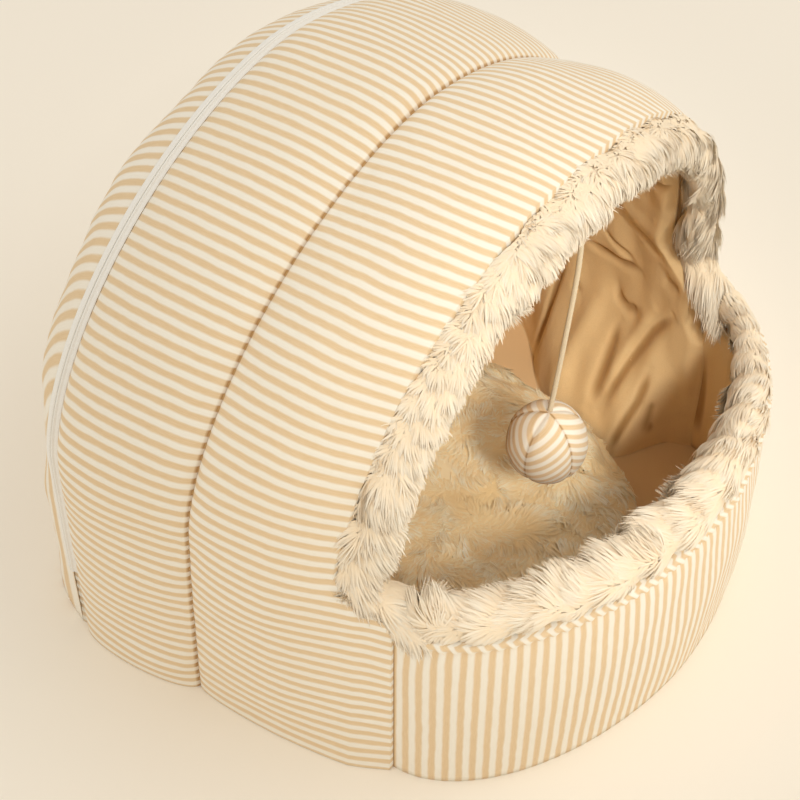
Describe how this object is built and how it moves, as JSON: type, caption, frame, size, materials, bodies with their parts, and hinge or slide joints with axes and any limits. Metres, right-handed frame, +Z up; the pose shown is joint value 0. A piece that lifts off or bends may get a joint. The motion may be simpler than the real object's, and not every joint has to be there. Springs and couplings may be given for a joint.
{
  "type": "cat house",
  "caption": "Arched soft cat house in striped cloth with a low front lip, long plush trim round the mouth, a plush cushion inside and a ball hanging on a cord.",
  "frame": {"origin": "on the floor, under the middle of the house's bounding box", "axes": "+Z up, -Y out of the mouth, +X to the right of someone who looks into the mouth"},
  "size_m": [0.4142, 0.3602, 0.3402],
  "materials": {
    "ticking": "cream cotton with narrow tan stripes, matt",
    "lining": "smooth tan lining cloth, slightly creased",
    "zip_tape": "grey-white woven tape, closed concealed zip",
    "plush": "ivory long-pile plush",
    "cushion_plush": "golden cream long-pile plush",
    "ball_cloth": "striped cotton, stuffed",
    "cord": "pale twisted cord"
  },
  "bodies": {
    "root": {"roof_panel": "ticking", "back_panel": "ticking", "front_lip": "ticking", "base_panel": "ticking", "lining_roof": "lining", "lining_back": "lining", "lining_lip": "lining", "zip_tape_front": "zip_tape", "zip_tape_rear": "zip_tape", "arch_trim": "plush", "lip_trim": "plush", "cushion": "cushion_plush", "ball": "ball_cloth", "ball_cord": "cord"}
  },
  "joints": []
}
